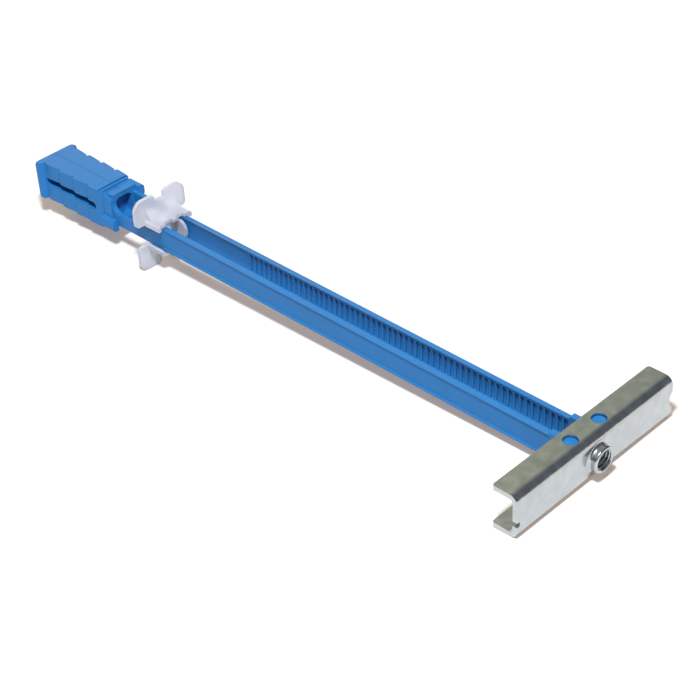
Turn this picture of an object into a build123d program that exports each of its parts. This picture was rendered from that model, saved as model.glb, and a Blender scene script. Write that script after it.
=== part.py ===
from build123d import *
from math import asin, degrees
import os

# Strap toggle anchor for hollow walls, in millimetres.
# Origin: middle of the threaded hole, on the web's inner face. +X points from the grip into the wall.
# +Y runs along the channel towards the left strap, +Z is up, along the hinge pins.

# Toggle channel: steel strip folded to a channel
channel_length = 47.6
channel_height = 10.1
sheet = 1.1
flange_depth = 6.1
bend_inner_radius = 0.8
end_corner_radius = 0.6
end_notch_depth = 0.8
end_notch_height = 1.1
end_notch_z = -1.6
end_scoop_depth = 0.9
end_scoop_radius = 2.3
end_scoop_z = -0.2
pin_hole_diameter = 3.2
pin_spacing = 8.76
pin_setback = 2.135
collar_diameter = 5.8
collar_reach = 1.8
collar_root_radius = 0.8
collar_rim_radius = 0.4
thread_bore_diameter = 4.2

# Straps: two mouldings of one form, the right one turned half a turn about X
strap_span = 7.9
strap_height = 6.0
strap_edge = 1.5
strap_hollow = 0.45
bead_height = 0.6
bead_draft = 0.1
lip_height = 0.2
bead_proud = 0.3
tooth_pitch = 1.55
tooth_depth = 0.35
tooth_count = 58
tooth_height = 4.4
pin_clearance = 0.06
pin_recess = 0.5
pin_chamfer = 0.15
lug_radius = 1.9
lug_clearance = 0.35
lug_length = 5.6
lug_taper = 3.0

# Grip block: each strap carries one half
grip_end_x = -163.2
grip_length = 23.0
grip_width = 12.0
grip_height = 9.7
grip_wall = 1.2
parting_gap = 0.08
grip_end_land = 2.6
grip_end_flare = 1.2
grip_corner_radius = 1.2
grip_edge_radius = 0.7
bump_count = 4
bump_rise = 0.75
bump_groove = 0.4
waist_depth = 2.15
waist_slant = 0.03
slot_height = 2.0
slot_length = 18.6
groove_width = 0.8
groove_depth = 0.5
groove_length = 8.6

# Neck between the grip and the strap: a low bar with a shoulder on its outer corner
bar_length = 2.9
bar_height = 8.7
bar_edge_fall = 1.1
pocket_width = 4.9
pocket_height = 6.2
pocket_radius = 1.4
pocket_depth = 2.4
shoulder_length = 4.3
shoulder_reach = 1.25
shoulder_height = 3.0
shoulder_thickness = 1.6
shoulder_radius = 0.9
neck_root_radius = 2.0
neck_top = 2.9
neck_bottom = -0.3

# Wall cap: flange of four ears, two saddles and two pawl tongues
cap_parking_gap = 15.3
ear_thickness = 0.9
ear_width = 6.0
ear_height = 6.4
ear_corner = 0.9
ear_crown_radius = 2.6
ear_offset_y = 4.4
ear_offset_z = 5.9
root_radius = 3.0
plate_rise = 1.5
saddle_length = 4.9
saddle_wall = 0.75
skirt_depth = 1.5
cap_clearance = 0.3
tongue_length = 6.1
tongue_thickness = 0.75
tongue_height = 5.0
pawl_reach = 0.25
bead_cover = 0.7
notch_depth = 0.8
notch_width = 2.0
notch_spacing = 3.4

# Places worked out from the sizes above
half_length = channel_length / 2
half_height = channel_height / 2
flange_inner_z = half_height - sheet
flange_edge_x = sheet - flange_depth
pin_x = -pin_setback
pin_y = pin_spacing / 2
strap_outer_y = strap_span / 2
strap_inner_y = strap_outer_y - strap_edge
strap_top = strap_height / 2
web_outer_y = strap_outer_y - bead_proud
bead_foot_z = strap_top - bead_height
hollow_radius = (strap_top**2 + strap_hollow**2) / (2 * strap_hollow)
hollow_bottom_y = strap_inner_y + strap_hollow
hollow_axis_y = hollow_bottom_y - hollow_radius
lug_top = flange_inner_z - lug_clearance
lug_start_x = pin_x - lug_length
grip_front_x = grip_end_x + grip_length
grip_top = grip_height / 2
bar_front_x = grip_front_x + bar_length
bar_top = bar_height / 2
shoulder_outer_y = strap_outer_y + shoulder_reach
shoulder_front_x = grip_front_x + shoulder_length
cap_back_x = grip_front_x + cap_parking_gap
saddle_end_x = cap_back_x + ear_thickness + saddle_length
bead_start_x = saddle_end_x - bead_cover


def strap(pin_top):
    """One strap with its half of the grip, on the +Y side, with hinge pins up to pin_top."""
    with BuildPart() as body:
        # Blade: flat outside between a bead above and a lip below, hollow inside
        with BuildSketch(Plane.YZ.offset(bead_start_x)):
            with BuildLine():
                Polyline(
                    (strap_inner_y, strap_top),
                    (strap_outer_y - bead_draft, strap_top),
                    (strap_outer_y, bead_foot_z),
                    (web_outer_y, bead_foot_z - bead_proud),
                    (web_outer_y, -strap_top + lip_height + bead_proud),
                    (strap_outer_y, -strap_top + lip_height),
                    (strap_outer_y, -strap_top),
                    (strap_inner_y, -strap_top),
                )
                ThreePointArc((strap_inner_y, -strap_top), (hollow_bottom_y, 0), (strap_inner_y, strap_top))
            make_face()
        extrude(amount=pin_x - lug_radius - bead_start_x)

        # Plain blade without beads, which the cap is parked on
        with BuildSketch(Plane.YZ.offset(cap_back_x + ear_thickness)):
            with Locations(((strap_inner_y + web_outer_y) / 2, 0)):
                Rectangle(strap_edge - bead_proud, strap_height)
            with Locations((hollow_axis_y, 0)):
                Circle(hollow_radius, mode=Mode.SUBTRACT)
        extrude(amount=bead_start_x - cap_back_x - ear_thickness)

        # Neck: a lower strip, above the middle on this strap and below it on the other
        with BuildSketch(Plane.YZ.offset(grip_front_x)):
            with Locations(((strap_inner_y + web_outer_y) / 2, (neck_top + neck_bottom) / 2)):
                Rectangle(strap_edge - bead_proud, neck_top - neck_bottom)
            with Locations((hollow_axis_y, 0)):
                Circle(hollow_radius, mode=Mode.SUBTRACT)
        extrude(amount=cap_back_x + ear_thickness + 0.5 - grip_front_x)

        # Ratchet teeth: grooves turned round the axis of the hollow, steep on their channel side
        sweep_angle = 2 * degrees(asin(tooth_height / 2 / hollow_radius))
        comb_plane = Plane(
            origin=(0, hollow_axis_y, 0),
            x_dir=(1, 0, 0),
            z_dir=Vector(0, 0, 1).rotate(Axis.X, -sweep_angle / 2),
        )
        first_tooth_x = lug_start_x - tooth_count * tooth_pitch
        comb = [
            (lug_start_x, hollow_radius - 2 * tooth_depth),
            (first_tooth_x, hollow_radius - 2 * tooth_depth),
        ]
        for tooth in range(tooth_count):
            root_x = first_tooth_x + tooth * tooth_pitch
            comb += [
                (root_x, hollow_radius + tooth_depth),
                (root_x + tooth_pitch / 3, hollow_radius + tooth_depth),
            ]
            comb += [(root_x + 0.6 * tooth_pitch, hollow_radius), (root_x + tooth_pitch, hollow_radius)]
        with BuildSketch(comb_plane):
            with BuildLine():
                Polyline(*comb, close=True)
            make_face()
        revolve(axis=Axis((0, hollow_axis_y, 0), (1, 0, 0)), revolution_arc=sweep_angle, mode=Mode.SUBTRACT)

        # Lug round the hinge pins, between the flanges
        with BuildSketch():
            with Locations(((lug_start_x + pin_x) / 2, (strap_inner_y + strap_outer_y) / 2)):
                Rectangle(pin_x - lug_start_x, strap_edge)
        extrude(amount=lug_top, both=True)
        with BuildSketch():
            with Locations((pin_x, pin_y)):
                Circle(lug_radius)
            with Locations((pin_x - lug_taper, (strap_inner_y + strap_outer_y) / 2)):
                Rectangle(lug_taper / 4, strap_edge)
            make_hull()
        extrude(amount=lug_top, both=True)
        if pin_top > lug_top:
            with BuildSketch():
                with Locations((pin_x, pin_y)):
                    Circle(pin_hole_diameter / 2 - pin_clearance)
            extrude(amount=pin_top, both=True)
            pin_ends = body.edges().filter_by(GeomType.CIRCLE).group_by(Axis.Z)
            chamfer(pin_ends[0] + pin_ends[-1], length=pin_chamfer)

        # Bar in front of the grip, with half of a pocket between the two straps
        with BuildSketch():
            with Locations((grip_front_x + bar_length / 2, (parting_gap / 2 + strap_outer_y) / 2)):
                Rectangle(bar_length, strap_outer_y - parting_gap / 2)
        extrude(amount=bar_top, both=True)
        with BuildSketch(Plane.YZ.offset(bar_front_x)):
            RectangleRounded(pocket_width, pocket_height, pocket_radius)
        extrude(amount=-pocket_depth, mode=Mode.SUBTRACT)

        # The bar's lower outer edge falls away towards the neck, which leaves it in a hollow corner
        with BuildSketch(Plane.XZ.offset(-strap_outer_y)):
            with BuildLine():
                Polyline(
                    (grip_front_x, -bar_top),
                    (bar_front_x, -bar_top + bar_edge_fall),
                    (bar_front_x, -bar_top),
                    close=True,
                )
            make_face()
        extrude(amount=strap_edge / 2, mode=Mode.SUBTRACT)
        with BuildSketch(Plane.XZ.offset(-web_outer_y)):
            with BuildLine():
                Polyline(
                    (bar_front_x + neck_root_radius, neck_bottom),
                    (bar_front_x, neck_bottom),
                    (bar_front_x, neck_bottom - neck_root_radius),
                )
                RadiusArc(
                    (bar_front_x, neck_bottom - neck_root_radius),
                    (bar_front_x + neck_root_radius, neck_bottom),
                    neck_root_radius,
                )
            make_face()
        extrude(amount=web_outer_y - strap_inner_y)

        # Shoulder: the bar's upper outer corner runs on beside the neck
        with BuildSketch(Plane.YZ.offset(grip_front_x)):
            with Locations((shoulder_outer_y - shoulder_thickness / 2, bar_top - shoulder_height / 2)):
                Rectangle(shoulder_thickness, shoulder_height)
            fillet(vertices().group_by(Axis.X)[-1], radius=shoulder_radius)
        extrude(amount=shoulder_length)

        # Grip half
        with BuildSketch():
            with Locations((grip_end_x + grip_length / 2, (grip_width + parting_gap) / 4)):
                Rectangle(grip_length, (grip_width - parting_gap) / 2)
        extrude(amount=grip_top, both=True)
        edges_to_round = body.edges().filter_by(Axis.Z).group_by(Axis.X)[0].sort_by(Axis.Y)[-1]
        fillet(edges_to_round, radius=grip_corner_radius)
        end_edges = body.edges().filter_by(Axis.Y).group_by(Axis.X)[0]
        fillet(end_edges, radius=grip_edge_radius)

        # Waist of the grip, with bumps that fall towards the channel, a little deeper below than above
        waist_start_x = grip_end_x + grip_end_land
        bump_pitch = (grip_front_x - waist_start_x) / bump_count
        waist_y = grip_width / 2 - waist_depth
        with BuildSketch(Plane.XY.offset(-grip_top)):
            with BuildLine():
                Polyline(
                    (grip_front_x, waist_y),
                    (grip_front_x, grip_width),
                    (waist_start_x - grip_end_flare, grip_width),
                    (waist_start_x - grip_end_flare, grip_width / 2),
                    (waist_start_x, waist_y),
                )
                for bump in range(bump_count):
                    start_x = waist_start_x + bump * bump_pitch
                    crest_x = start_x + bump_groove
                    end_x = start_x + bump_pitch
                    Polyline(
                        (start_x, waist_y),
                        (crest_x, waist_y + bump_rise),
                        ((crest_x + end_x) / 2, waist_y + 0.8 * bump_rise),
                        (end_x - bump_groove, waist_y + bump_rise / 2),
                        (end_x, waist_y),
                    )
            make_face()
        extrude(amount=2 * grip_height, dir=(0, waist_slant, 1), mode=Mode.SUBTRACT)

        # Groove across the grip's front end, above and below
        with BuildSketch(Plane.XY.offset(-grip_top)):
            with Locations((grip_front_x - groove_width, 0)):
                Rectangle(groove_width, groove_length)
        extrude(amount=groove_depth, mode=Mode.SUBTRACT)
        with BuildSketch(Plane.XY.offset(grip_top)):
            with Locations((grip_front_x - groove_width, 0)):
                Rectangle(groove_width, groove_length)
        extrude(amount=-groove_depth, mode=Mode.SUBTRACT)

        # Hollow of the grip, open to the other half, and the slot through its side wall
        hollow_depth = waist_y - grip_wall
        with BuildSketch(Plane.XZ):
            with Locations((grip_end_x + grip_length / 2, 0)):
                RectangleRounded(grip_length - 2 * grip_wall, grip_height - 2 * grip_wall, 0.8)
        extrude(amount=-hollow_depth, mode=Mode.SUBTRACT)
        with BuildSketch(Plane.XZ):
            with Locations((grip_end_x + grip_length / 2, 0)):
                SlotOverall(slot_length, slot_height)
        extrude(amount=-grip_width, mode=Mode.SUBTRACT)
    return body.part


# Toggle channel
with BuildPart() as toggle_channel:
    with BuildSketch(Plane.XZ):
        with BuildLine():
            outer = FilletPolyline(
                (flange_edge_x, half_height),
                (sheet, half_height),
                (sheet, -half_height),
                (flange_edge_x, -half_height),
                radius=bend_inner_radius + sheet,
            )
            inner = FilletPolyline(
                (flange_edge_x, flange_inner_z),
                (0, flange_inner_z),
                (0, -flange_inner_z),
                (flange_edge_x, -flange_inner_z),
                radius=bend_inner_radius,
            )
            Line(outer @ 0, inner @ 0)
            Line(outer @ 1, inner @ 1)
        make_face()
    extrude(amount=half_length, both=True)
    fillet(toggle_channel.edges().filter_by(Axis.Z).group_by(Axis.X)[0], radius=end_corner_radius)

    # Sheared ends of the web: a small notch at one end and a scoop at the other
    with BuildSketch(Plane.YZ):
        with Locations((-half_length, end_notch_z)):
            Rectangle(2 * end_notch_depth, end_notch_height)
        with Locations((half_length + end_scoop_radius - end_scoop_depth, end_scoop_z)):
            Circle(end_scoop_radius)
    extrude(amount=sheet, mode=Mode.SUBTRACT)

    # Hinge pin holes through both flanges
    with Locations(Plane.XY.offset(half_height)):
        with Locations((pin_x, pin_y), (pin_x, -pin_y)):
            Hole(pin_hole_diameter / 2)

    # Collar drawn out of the web for the thread
    bore_radius = thread_bore_diameter / 2
    collar_radius = collar_diameter / 2
    collar_face_x = sheet + collar_reach
    with BuildSketch():
        with BuildLine():
            Polyline(
                (0, 0),
                (0, collar_radius + collar_root_radius),
                (sheet, collar_radius + collar_root_radius),
            )
            RadiusArc(
                (sheet, collar_radius + collar_root_radius),
                (sheet + collar_root_radius, collar_radius),
                -collar_root_radius,
            )
            FilletPolyline(
                (sheet + collar_root_radius, collar_radius),
                (collar_face_x, collar_radius),
                (collar_face_x, 0),
                radius=collar_rim_radius,
            )
            Line((collar_face_x, 0), (0, 0))
        make_face()
    revolve(axis=Axis.X)
    with BuildSketch():
        with BuildLine():
            Polyline(
                (0, 0),
                (0, bore_radius),
                (collar_face_x - collar_rim_radius / 2, bore_radius),
                (collar_face_x, bore_radius + collar_rim_radius / 2),
                (collar_face_x, 0),
                close=True,
            )
        make_face()
    revolve(axis=Axis.X, mode=Mode.SUBTRACT)

# Left strap: its pins turn in the channel's holes
with BuildPart() as left_strap:
    add(strap(half_height - pin_recess))

# Right strap: its lug lies under the flanges without pins, so that the fold can open
with BuildPart() as right_strap:
    add(strap(lug_top).rotate(Axis.X, 180))

# Wall cap
with BuildPart() as wall_cap:
    slot_outer_y = strap_outer_y + cap_clearance
    slot_top = strap_top + cap_clearance
    tongue_outer_y = strap_inner_y - cap_clearance / 2
    saddle_top = slot_top + saddle_wall
    saddle_side = slot_outer_y + saddle_wall
    with BuildSketch(Plane.YZ.offset(cap_back_x)):
        with Locations((ear_offset_y, ear_offset_z)):
            Rectangle(ear_width, ear_height)
        crown = vertices().sort_by(Axis.X)[-2:].sort_by(Axis.Y)[-1]
        fillet(vertices() - [crown], radius=ear_corner)
        fillet(vertices().sort_by(lambda v: v.X + v.Y)[-1], radius=ear_crown_radius)
        mirror(about=Plane.YZ)
        mirror(about=Plane.XZ)
        Rectangle(2 * saddle_side, 2 * saddle_top)
        Rectangle(ear_offset_y, 2 * (ear_offset_z + plate_rise))
        for side_y in (1, -1):
            with Locations((side_y * (tongue_outer_y + slot_outer_y) / 2, 0)):
                Rectangle(slot_outer_y - tongue_outer_y, 2 * slot_top, mode=Mode.SUBTRACT)
            with Locations((side_y * (tongue_outer_y + saddle_side) / 2, 0)):
                Rectangle(saddle_side - tongue_outer_y, 2 * (saddle_top - skirt_depth), mode=Mode.SUBTRACT)
        Rectangle(2 * (tongue_outer_y - tongue_thickness), tongue_height, mode=Mode.SUBTRACT)
    extrude(amount=ear_thickness)

    # Upper saddle, then the lower one by mirroring
    with BuildSketch(Plane.YZ.offset(cap_back_x)):
        with BuildLine():
            Polyline(
                (saddle_side, saddle_top - skirt_depth),
                (saddle_side - 0.1, saddle_top - 0.5),
                (saddle_side - 0.6, saddle_top),
                (-saddle_side + 0.6, saddle_top),
                (-saddle_side + 0.1, saddle_top - 0.5),
                (-saddle_side, saddle_top - skirt_depth),
                (-slot_outer_y, saddle_top - skirt_depth),
                (-slot_outer_y, slot_top),
                (slot_outer_y, slot_top),
                (slot_outer_y, saddle_top - skirt_depth),
                close=True,
            )
        make_face()
    upper_saddle = extrude(amount=ear_thickness + saddle_length)
    mirror(upper_saddle, about=Plane.XY)
    with BuildSketch():
        with Locations((saddle_end_x, notch_spacing / 2), (saddle_end_x, -notch_spacing / 2)):
            Rectangle(2 * notch_depth, notch_width)
    extrude(amount=saddle_top + 1, both=True, mode=Mode.SUBTRACT)

    # Hollow corner between the flange and each saddle
    with BuildSketch(Plane.XZ):
        with BuildLine():
            root_x = cap_back_x + ear_thickness
            Polyline(
                (root_x + root_radius, saddle_top),
                (root_x, saddle_top),
                (root_x, saddle_top + root_radius),
            )
            RadiusArc((root_x, saddle_top + root_radius), (root_x + root_radius, saddle_top), -root_radius)
        make_face()
    upper_root = extrude(amount=saddle_side - 0.6, both=True)
    mirror(upper_root, about=Plane.XY)

    # Pawl tongues beside the straps, each with a ridge at its end that points at the teeth
    for side_y in (1, -1):
        with BuildSketch(Plane.XZ.offset(-side_y * (tongue_outer_y - tongue_thickness))):
            with Locations((cap_back_x + (ear_thickness + tongue_length) / 2, 0)):
                Rectangle(ear_thickness + tongue_length, tongue_height)
            tip = cap_back_x + ear_thickness + tongue_length
            corners = [v for v in vertices().group_by(Axis.X)[-1]]
            fillet(corners, radius=0.45 * tongue_height)
        extrude(amount=-side_y * tongue_thickness)
        with BuildSketch():
            with BuildLine():
                Polyline(
                    (tip - 0.5, side_y * tongue_outer_y),
                    (tip - 1.3, side_y * (tongue_outer_y + pawl_reach)),
                    (tip - 1.5, side_y * (tongue_outer_y + pawl_reach)),
                    (tip - 1.5, side_y * tongue_outer_y),
                    close=True,
                )
            make_face()
        extrude(amount=tongue_height / 4, both=True)

os.makedirs("parts", exist_ok=True)
for name, piece in {
    "toggle_channel": toggle_channel,
    "left_strap": left_strap,
    "right_strap": right_strap,
    "wall_cap": wall_cap,
}.items():
    piece.part.label = name
    export_step(piece.part, f"parts/{name}.step")
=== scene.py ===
import math

import bmesh
import bpy
import numpy as np
from mathutils import Matrix, Vector


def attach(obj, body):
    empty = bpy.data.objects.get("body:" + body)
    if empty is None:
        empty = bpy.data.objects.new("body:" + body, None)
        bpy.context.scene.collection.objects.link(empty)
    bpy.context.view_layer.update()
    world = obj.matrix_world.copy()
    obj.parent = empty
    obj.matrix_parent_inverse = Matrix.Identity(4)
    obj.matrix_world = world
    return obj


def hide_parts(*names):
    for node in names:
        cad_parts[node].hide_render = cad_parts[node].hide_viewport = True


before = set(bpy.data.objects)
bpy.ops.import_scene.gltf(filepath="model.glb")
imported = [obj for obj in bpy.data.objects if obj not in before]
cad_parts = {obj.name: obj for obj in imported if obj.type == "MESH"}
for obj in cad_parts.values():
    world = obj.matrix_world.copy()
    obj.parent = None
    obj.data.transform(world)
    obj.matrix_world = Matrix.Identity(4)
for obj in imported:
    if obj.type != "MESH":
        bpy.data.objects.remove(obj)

# Units: the frame is in metres. Sizes below are in millimetres unless their name says metres.
MM = 0.001

# Places on the anchor, as the solids have them
PIN_X = -2.135
PIN_Y = 4.38
PIN_RADIUS = 1.54
PIN_TOP_Z = 4.55
FLANGE_INNER_Z = 3.95
BORE_RADIUS = 2.1
BORE_END_X = 2.9
STRAP_TOP_Z = 3.0

# Ends of the hinge pins: how far they start inside the flange, their chamfer and their steps round
PIN_SUNK = 0.3
PIN_CHAMFER = 0.15
PIN_CHAMFER_KNEE = 0.04
PIN_STEPS = 48

# Thread in the collar
THREAD_PITCH = 0.7
THREAD_DEPTH = 0.16
THREAD_START_X = 0.15
THREAD_END_GAP = 0.25
THREAD_STEPS = 48
THREAD_OVERLAP = 0.01
# It fades in and out that many times faster than it turns, from that share of its size
FADES_PER_TURN = 3
FADE_FLOOR = 0.02
# One section of its ridge: offsets along the bore in pitches, and heights in depths
RIDGE_OFFSETS = (-0.42, -0.06, 0.06, 0.42, 0.3, -0.3)
RIDGE_HEIGHTS = (0, 1, 1, 0, -0.3, -0.3)

# Edges of the dressed solids: the angle in degrees from which an edge is rounded, its steps, and
# the angle in degrees under which faces count as one flat face
EDGE_ANGLE = 25
EDGE_SEGMENTS = 2
FLAT_ANGLE = 0.5

# Distances under which vertices are one, in the solids and in the swept and turned pieces
MERGE_METRES = 1e-6
FILL_MERGE_METRES = 1e-8

# Long outer rims of the straps: distance from the anchor's middle plane and radius, of the bead's
# and of the lip's, the length from which an edge counts, how far off it may lie, and its steps
RIMS = ((3.85, 0.35), (3.95, 0.15))
RIM_LENGTH = 20.0
RIM_TOLERANCE = 0.03
RIM_SEGMENTS = 4

# Moulded or plated skin: fine grain against coarse, ends of the mottling and height of the relief
FINE_TO_COARSE = 9.0
MOTTLE_ENDS = (0.3, 0.7)
RELIEF_DEPTH = 0.05

# Floor: x and z of the two places that it passes through, its reach, its colours, and the
# distances from the origin between which its glow grows
CHANNEL_FOOT = (1.1, -5.07)
EAR_FOOT = (-126.0, -9.25)
FLOOR_REACH = 3000.0
PAPER_COLOUR = (0.7, 0.71, 0.76)
PAPER_GLOW = (0.225, 0.165, 0.112)
GLOW_DISTANCES = (180.0, 1000.0)
GLOW_STRENGTHS = (1.0, 12.0)

# World: colours by height, a cooler part beyond the channel's far end and a softbox past the grip
SKY_BANDS = (
    (0.0, (0.08, 0.08, 0.075)),
    (0.3, (0.16, 0.155, 0.14)),
    (0.6, (0.5, 0.51, 0.41)),
    (1.0, (0.25, 0.24, 0.22)),
)
BEYOND_DIRECTION = (0.8, 0.6, 0.0)
BEYOND_RANGE = (0.0, 0.5)
BEYOND_COLOUR = (0.15, 0.16, 0.18)
SOFTBOX_DIRECTION = (-0.75, 0.45, 0.48)
SOFTBOX_RANGE = (0.955, 0.99)
SOFTBOX_COLOUR = (3.3, 2.7, 1.8)

# Key lamp
KEY_POWER = 47.0
KEY_PLACE = (42, -127, 350)
KEY_RADIUS = 26

# Camera at the photograph's viewing angle, with its angles given in degrees
PICTURE_WIDTH_PX = 700
FOCAL_PX = 1843.79
SENSOR_WIDTH = 36.0
AZIMUTH, ELEVATION, ROLL = (math.radians(a) for a in (-44.2026, 36.5719, -3.1027))
TARGET = np.array([-61.0634 + PIN_X, -1.5032, -5.05])
DISTANCE = 389.757
CLIP_METRES = (0.01, 20.0)

# The two colour inputs of a Mix node
MIX_A, MIX_B = 6, 7


def node_of(tree, kind, place=(0, 0), **values):
    """A shader node of that kind, with plain properties and socket values set."""
    made = tree.nodes.new(kind)
    made.location = place
    for name, value in values.items():
        if hasattr(made, name):
            setattr(made, name, value)
        else:
            made.inputs[name.replace("_", " ")].default_value = value
    return made


def join(tree, *pairs):
    """Links each pair of sockets, from an output to an input."""
    for start, end in pairs:
        tree.links.new(start, end)


def moulded_grain():
    """Node group: fine mottling of a moulded skin, as a factor, a roughness and a height."""
    group = bpy.data.node_groups.new("moulded_grain", "ShaderNodeTree")
    for direction, names in (
        ("INPUT", ("Scale", "Roughness", "Spread")),
        ("OUTPUT", ("Mottle", "Roughness", "Height")),
    ):
        for name in names:
            group.interface.new_socket(name, in_out=direction, socket_type="NodeSocketFloat")
    given = node_of(group, "NodeGroupInput", (-800, 0))
    out = node_of(group, "NodeGroupOutput", (600, 0))
    coords = node_of(group, "ShaderNodeTexCoord", (-800, 200))
    coarse = node_of(group, "ShaderNodeTexNoise", (-400, 200), Detail=3.0)
    fine = node_of(group, "ShaderNodeTexNoise", (-400, -100), Detail=2.0)
    times = node_of(group, "ShaderNodeMath", (-600, -100), operation="MULTIPLY")
    times.inputs[1].default_value = FINE_TO_COARSE
    swing = node_of(group, "ShaderNodeMath", (-100, 100), operation="MULTIPLY_ADD")
    centre = node_of(group, "ShaderNodeMath", (-250, 100), operation="SUBTRACT")
    centre.inputs[1].default_value = 0.5
    join(
        group,
        (coords.outputs["Object"], coarse.inputs["Vector"]),
        (coords.outputs["Object"], fine.inputs["Vector"]),
        (given.outputs["Scale"], coarse.inputs["Scale"]),
        (given.outputs["Scale"], times.inputs[0]),
        (times.outputs[0], fine.inputs["Scale"]),
        (coarse.outputs["Fac"], centre.inputs[0]),
        (centre.outputs[0], swing.inputs[0]),
        (given.outputs["Spread"], swing.inputs[1]),
        (given.outputs["Roughness"], swing.inputs[2]),
        (coarse.outputs["Fac"], out.inputs["Mottle"]),
        (swing.outputs[0], out.inputs["Roughness"]),
        (fine.outputs["Fac"], out.inputs["Height"]),
    )
    return group


GRAIN = moulded_grain()


def finish_material(name, dark, light, roughness, spread, scale, bump, **sockets):
    """A Principled material whose colour and roughness wander a little over the surface."""
    material = bpy.data.materials.new(name)
    material.use_nodes = True
    tree = material.node_tree
    shader = tree.nodes["Principled BSDF"]
    for key, value in sockets.items():
        shader.inputs[key.replace("_", " ")].default_value = value
    grain = node_of(tree, "ShaderNodeGroup", (-600, 0))
    grain.node_tree = GRAIN
    for key, value in (("Scale", scale), ("Roughness", roughness), ("Spread", spread)):
        grain.inputs[key].default_value = value
    ramp = node_of(tree, "ShaderNodeValToRGB", (-350, 200))
    for stop, place, colour in zip(ramp.color_ramp.elements, MOTTLE_ENDS, (dark, light)):
        stop.position = place
        stop.color = (*colour, 1)
    relief = node_of(
        tree, "ShaderNodeBump", (-350, -200), Strength=bump, Distance=RELIEF_DEPTH * MM
    )
    join(
        tree,
        (grain.outputs["Mottle"], ramp.inputs["Fac"]),
        (ramp.outputs["Color"], shader.inputs["Base Color"]),
        (grain.outputs["Roughness"], shader.inputs["Roughness"]),
        (grain.outputs["Height"], relief.inputs["Height"]),
        (relief.outputs["Normal"], shader.inputs["Normal"]),
    )
    return material


BLUE = finish_material(
    "blue_moulding", (0.015, 0.165, 0.45), (0.021, 0.179, 0.48),
    roughness=0.45, spread=0.2, scale=220, bump=0.15, Specular_IOR_Level=0.2,
)
ZINC = finish_material(
    "zinc_plating", (0.43, 0.475, 0.475), (0.52, 0.565, 0.59),
    roughness=0.22, spread=0.2, scale=420, bump=0.2, Metallic=1.0,
)
NATURAL = finish_material(
    "natural_moulding", (0.75, 0.775, 0.86), (0.77, 0.795, 0.88),
    roughness=0.35, spread=0.1, scale=260, bump=0.1,
    Subsurface_Weight=0.3, Subsurface_Scale=0.0015, Transmission_Weight=0.5, IOR=1.2,
)


def long_rim(edge, rim_y):
    """Whether an edge is a strap's long outer rim at that distance from the middle plane."""
    ends = [vert.co / MM for vert in edge.verts]
    at_rim = all(
        abs(abs(end.y) - rim_y) < RIM_TOLERANCE and abs(abs(end.z) - STRAP_TOP_Z) < RIM_TOLERANCE
        for end in ends
    )
    return at_rim and abs(ends[0].x - ends[1].x) > RIM_LENGTH


def round_rims(work):
    """Rounds a strap's two long outer rims, the bead's and the lip's, each by its own radius."""
    for rim_y, radius in RIMS:
        rim = [edge for edge in work.edges if long_rim(edge, rim_y)]
        bmesh.ops.bevel(
            work, geom=rim, offset=radius * MM, segments=RIM_SEGMENTS, profile=0.5, affect="EDGES"
        )
    bmesh.ops.remove_doubles(work, verts=work.verts, dist=MERGE_METRES)


def softened(node, material, width, rims=False, shortest=0.0):
    """A copy of a solid's mesh with doubles merged, flat faces joined and edges rounded.

    Edges under shortest are collapsed. With rims, a strap's two long outer rims are rounded too.
    """
    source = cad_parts[node]
    mesh = source.data.copy()
    mesh.name = node + "_skin"
    work = bmesh.new()
    work.from_mesh(mesh)
    bmesh.ops.remove_doubles(work, verts=work.verts, dist=MERGE_METRES)
    bmesh.ops.dissolve_limit(
        work, angle_limit=math.radians(FLAT_ANGLE), verts=work.verts, edges=work.edges
    )
    if shortest:
        bmesh.ops.dissolve_degenerate(work, dist=shortest * MM, edges=work.edges)
    if rims:
        round_rims(work)
    work.to_mesh(mesh)
    work.free()
    mesh.materials.clear()
    mesh.materials.append(material)
    mesh.shade_smooth()
    mesh.set_sharp_from_angle(angle=math.radians(EDGE_ANGLE))
    piece = bpy.data.objects.new(node + "_skin", mesh)
    bpy.context.scene.collection.objects.link(piece)
    bevel = piece.modifiers.new("edges", "BEVEL")
    bevel.width = width * MM
    bevel.segments = EDGE_SEGMENTS
    bevel.limit_method = "ANGLE"
    bevel.angle_limit = math.radians(EDGE_ANGLE)
    bevel.harden_normals = True
    source.hide_render = True
    source.hide_viewport = True
    return piece


def grid_mesh(name, points, material, wrap_u=False, wrap_v=False):
    """A mesh from a grid of points: rows run along u and columns along v, closed where asked."""
    rows, columns = points.shape[:2]
    index = np.arange(rows * columns).reshape(rows, columns)
    if wrap_u:
        index = np.vstack([index, index[:1]])
    if wrap_v:
        index = np.hstack([index, index[:, :1]])
    corners = [index[:-1, :-1], index[1:, :-1], index[1:, 1:], index[:-1, 1:]]
    quads = np.stack(corners, -1).reshape(-1, 4)
    mesh = bpy.data.meshes.new(name)
    mesh.from_pydata(points.reshape(-1, 3).tolist(), [], quads.tolist())
    mesh.shade_smooth()
    mesh.materials.append(material)
    piece = bpy.data.objects.new(name, mesh)
    bpy.context.scene.collection.objects.link(piece)
    return piece


def turned(profile, steps, centre):
    """Surface of revolution: each profile point (radius, z) goes round a line along Z at centre."""
    turn = np.linspace(0, 2 * np.pi, steps, endpoint=False)[:, None]
    radius, height = profile[:, 0][None, :], profile[:, 1][None, :]
    x = centre[0] + radius * np.cos(turn)
    y = centre[1] + radius * np.sin(turn)
    z = np.broadcast_to(height, x.shape)
    return np.stack([x, y, z], -1) * MM


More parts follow.
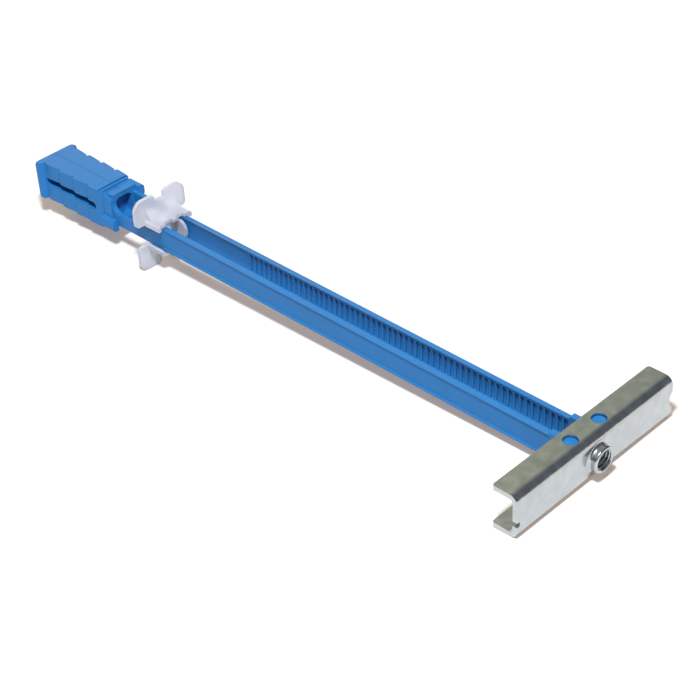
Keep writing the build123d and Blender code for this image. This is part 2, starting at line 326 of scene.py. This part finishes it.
def thread_ridge():
    """Thread inside the collar: a ridge carried along a helix about X, faded out at both ends."""
    length = BORE_END_X - THREAD_END_GAP - THREAD_START_X
    turns = length / THREAD_PITCH
    along = np.linspace(0, 1, int(turns * THREAD_STEPS))[:, None]
    angle = 2 * np.pi * turns * along
    fade = np.clip(np.minimum(along, 1 - along) * turns * FADES_PER_TURN, FADE_FLOOR, 1)
    offset = np.array(RIDGE_OFFSETS)[None, :] * THREAD_PITCH
    height = np.array(RIDGE_HEIGHTS)[None, :] * THREAD_DEPTH
    radius = BORE_RADIUS + THREAD_OVERLAP - height * fade
    x = THREAD_START_X + length * along + offset * fade
    points = np.stack([x, radius * np.cos(angle), radius * np.sin(angle)], -1) * MM
    return grid_mesh("collar_thread", points, ZINC, wrap_v=True)


def pin_end(name, side):
    """End of a hinge pin in a flange hole, above (side 1) or below (side -1) the right lug."""
    inner = FLANGE_INNER_Z - PIN_SUNK
    profile = np.array([
        [0.0, inner],
        [PIN_RADIUS, inner],
        [PIN_RADIUS, PIN_TOP_Z - PIN_CHAMFER],
        [PIN_RADIUS - PIN_CHAMFER_KNEE, PIN_TOP_Z - PIN_CHAMFER_KNEE],
        [PIN_RADIUS - PIN_CHAMFER, PIN_TOP_Z],
        [0.0, PIN_TOP_Z],
    ])
    profile[:, 1] *= side
    points = turned(profile, PIN_STEPS, (PIN_X, -PIN_Y))
    return grid_mesh(name, points, BLUE, wrap_u=True)


def close_holes_and_turn_out(piece):
    """Closes open ends with faces and makes the normals point outwards."""
    work = bmesh.new()
    work.from_mesh(piece.data)
    bmesh.ops.remove_doubles(work, verts=work.verts, dist=FILL_MERGE_METRES)
    bmesh.ops.holes_fill(work, edges=[e for e in work.edges if e.is_boundary], sides=0)
    bmesh.ops.recalc_face_normals(work, faces=work.faces)
    work.to_mesh(piece.data)
    work.free()


def floor_grid():
    """Corners of a plane on which the channel's lower edge and the cap's lower ears stand."""
    slope = (CHANNEL_FOOT[1] - EAR_FOOT[1]) / (CHANNEL_FOOT[0] - EAR_FOOT[0])
    reach = np.array([-FLOOR_REACH, FLOOR_REACH])
    x, y = np.meshgrid(reach, reach, indexing="ij")
    z = CHANNEL_FOOT[1] + slope * (x - CHANNEL_FOOT[0])
    return np.stack([x, y, z], -1) * MM


def white_paper():
    """Floor material: takes shadows, glows to the eye and to gloss, and is clear from below."""
    paper = bpy.data.materials.new("white_paper")
    paper.use_nodes = True
    tree = paper.node_tree
    sheet = tree.nodes["Principled BSDF"]
    sheet.inputs["Base Color"].default_value = (*PAPER_COLOUR, 1)
    sheet.inputs["Roughness"].default_value = 1.0
    sheet.inputs["Specular IOR Level"].default_value = 0.0
    sheet.inputs["Emission Color"].default_value = (*PAPER_GLOW, 1)
    ray = node_of(tree, "ShaderNodeLightPath", (-700, 0))
    spot = node_of(tree, "ShaderNodeTexCoord", (-900, -200))
    away = node_of(tree, "ShaderNodeVectorMath", (-700, -200), operation="LENGTH")
    whiter = node_of(
        tree, "ShaderNodeMapRange", (-500, -200),
        From_Min=GLOW_DISTANCES[0] * MM, From_Max=GLOW_DISTANCES[1] * MM,
        To_Min=GLOW_STRENGTHS[0], To_Max=GLOW_STRENGTHS[1],
    )
    eye_or_gloss = node_of(tree, "ShaderNodeMath", (-500, 0), operation="MAXIMUM")
    shown = node_of(tree, "ShaderNodeMath", (-300, 0), operation="MULTIPLY")
    facing = node_of(tree, "ShaderNodeNewGeometry", (-300, 300))
    clear = node_of(tree, "ShaderNodeBsdfTransparent", (0, -500))
    one_sided = node_of(tree, "ShaderNodeMixShader", (300, 300))
    join(
        tree,
        (spot.outputs["Object"], away.inputs[0]),
        (away.outputs["Value"], whiter.inputs["Value"]),
        (ray.outputs["Is Camera Ray"], eye_or_gloss.inputs[0]),
        (ray.outputs["Is Glossy Ray"], eye_or_gloss.inputs[1]),
        (eye_or_gloss.outputs[0], shown.inputs[0]),
        (whiter.outputs["Result"], shown.inputs[1]),
        (shown.outputs[0], sheet.inputs["Emission Strength"]),
        (facing.outputs["Backfacing"], one_sided.inputs[0]),
        (sheet.outputs["BSDF"], one_sided.inputs[1]),
        (clear.outputs["BSDF"], one_sided.inputs[2]),
        (one_sided.outputs["Shader"], tree.nodes["Material Output"].inputs["Surface"]),
    )
    return paper


def toward(tree, direction, limits, y):
    """Two world nodes: how far a direction points that way, and a smooth step between limits."""
    along = node_of(tree, "ShaderNodeVectorMath", (-600, y), operation="DOT_PRODUCT")
    along.inputs[1].default_value = direction
    step = node_of(
        tree, "ShaderNodeMapRange", (-400, y), interpolation_type="SMOOTHSTEP",
        From_Min=limits[0], From_Max=limits[1],
    )
    tree.links.new(along.outputs["Value"], step.inputs["Value"])
    return along, step


def studio_world():
    """Soft fill, brightest halfway up, with a cooler part, a softbox, and white to the eye."""
    world = bpy.data.worlds.new("studio")
    world.use_nodes = True
    tree = world.node_tree
    where = node_of(tree, "ShaderNodeTexCoord", (-800, 0))
    split = node_of(tree, "ShaderNodeSeparateXYZ", (-600, 0))
    shade = node_of(tree, "ShaderNodeValToRGB", (-400, 0))
    for place, _ in SKY_BANDS[1:-1]:
        shade.color_ramp.elements.new(place)
    for band, (place, colour) in zip(shade.color_ramp.elements, SKY_BANDS):
        band.position = place
        band.color = (*colour, 1)
    to_beyond, beyond_step = toward(tree, BEYOND_DIRECTION, BEYOND_RANGE, -200)
    beyond = node_of(tree, "ShaderNodeMix", (-200, 0), data_type="RGBA")
    beyond.inputs[MIX_B].default_value = (*BEYOND_COLOUR, 1)
    to_softbox, softbox_step = toward(tree, SOFTBOX_DIRECTION, SOFTBOX_RANGE, -400)
    softbox = node_of(tree, "ShaderNodeMix", (0, 0), data_type="RGBA")
    softbox.inputs[MIX_B].default_value = (*SOFTBOX_COLOUR, 1)
    eye = node_of(tree, "ShaderNodeLightPath", (0, 300))
    backdrop = node_of(tree, "ShaderNodeMix", (200, 0), data_type="RGBA")
    backdrop.inputs[MIX_B].default_value = (1, 1, 1, 1)
    join(
        tree,
        (where.outputs["Generated"], split.inputs[0]),
        (split.outputs["Z"], shade.inputs["Fac"]),
        (where.outputs["Generated"], to_beyond.inputs[0]),
        (beyond_step.outputs["Result"], beyond.inputs[0]),
        (shade.outputs["Color"], beyond.inputs[MIX_A]),
        (where.outputs["Generated"], to_softbox.inputs[0]),
        (softbox_step.outputs["Result"], softbox.inputs[0]),
        (beyond.outputs[2], softbox.inputs[MIX_A]),
        (softbox.outputs[2], backdrop.inputs[MIX_A]),
        (eye.outputs["Is Camera Ray"], backdrop.inputs[0]),
        (backdrop.outputs[2], tree.nodes["Background"].inputs["Color"]),
    )
    return world


def key_lamp():
    """Lamp above the camera without falloff, so near that its shadows turn along the anchor."""
    data = bpy.data.lights.new("key", "POINT")
    data.energy = KEY_POWER
    data.shadow_soft_size = KEY_RADIUS * MM
    data.use_nodes = True
    tree = data.node_tree
    even = node_of(tree, "ShaderNodeLightFalloff", (-300, 0), Strength=1.0)
    tree.links.new(even.outputs["Constant"], tree.nodes["Emission"].inputs["Strength"])
    lamp = bpy.data.objects.new("key", data)
    lamp.location = Vector(KEY_PLACE) * MM
    return lamp


def photo_camera():
    """Camera that looks at the target from the given angles and distance, rolled about its axis."""
    flat = math.cos(ELEVATION)
    back = np.array([
        math.cos(AZIMUTH) * flat, math.sin(AZIMUTH) * flat, math.sin(ELEVATION)
    ])
    flat_right = np.array([-math.sin(AZIMUTH), math.cos(AZIMUTH), 0.0])
    flat_up = np.cross(back, flat_right)
    right = flat_right * math.cos(ROLL) + flat_up * math.sin(ROLL)
    up = -flat_right * math.sin(ROLL) + flat_up * math.cos(ROLL)
    data = bpy.data.cameras.new("camera")
    data.sensor_width = SENSOR_WIDTH
    data.lens = FOCAL_PX / PICTURE_WIDTH_PX * SENSOR_WIDTH
    data.clip_start, data.clip_end = CLIP_METRES
    camera = bpy.data.objects.new("camera", data)
    turn = Matrix((right, up, back)).transposed().to_4x4()
    camera.matrix_world = Matrix.Translation(Vector((TARGET + back * DISTANCE) * MM)) @ turn
    return camera


# Solids dressed with rounded edges
channel_skin = softened("toggle_channel", ZINC, 0.1, shortest=0.02)
left_skin = softened("left_strap", BLUE, 0.09, rims=True)
right_skin = softened("right_strap", BLUE, 0.09, rims=True)
cap_skin = softened("wall_cap", NATURAL, 0.12)
for skin, node, body, slot in (
    (channel_skin, "toggle_channel", "channel", "zinc_plated_steel"),
    (left_skin, "left_strap", "left", "blue_plastic"),
    (right_skin, "right_strap", "right", "blue_plastic"),
    (cap_skin, "wall_cap", "cap", "natural_plastic"),
):
    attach(skin, body)
    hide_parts(node)

# Thread in the collar
thread = thread_ridge()
close_holes_and_turn_out(thread)
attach(thread, "channel")

# Ends of the right strap's hinge pins, which stay in the channel's flange holes
for name, side in (("upper_pin_end", 1), ("lower_pin_end", -1)):
    pin = pin_end(name, side)
    close_holes_and_turn_out(pin)
    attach(pin, "channel")

# Floor, world, lamp and camera
floor = grid_mesh("paper_floor", floor_grid(), white_paper())
bpy.context.scene.world = studio_world()
bpy.context.scene.collection.objects.link(key_lamp())
camera = photo_camera()
bpy.context.scene.collection.objects.link(camera)
bpy.context.scene.camera = camera
bpy.context.scene.view_settings.view_transform = "Standard"
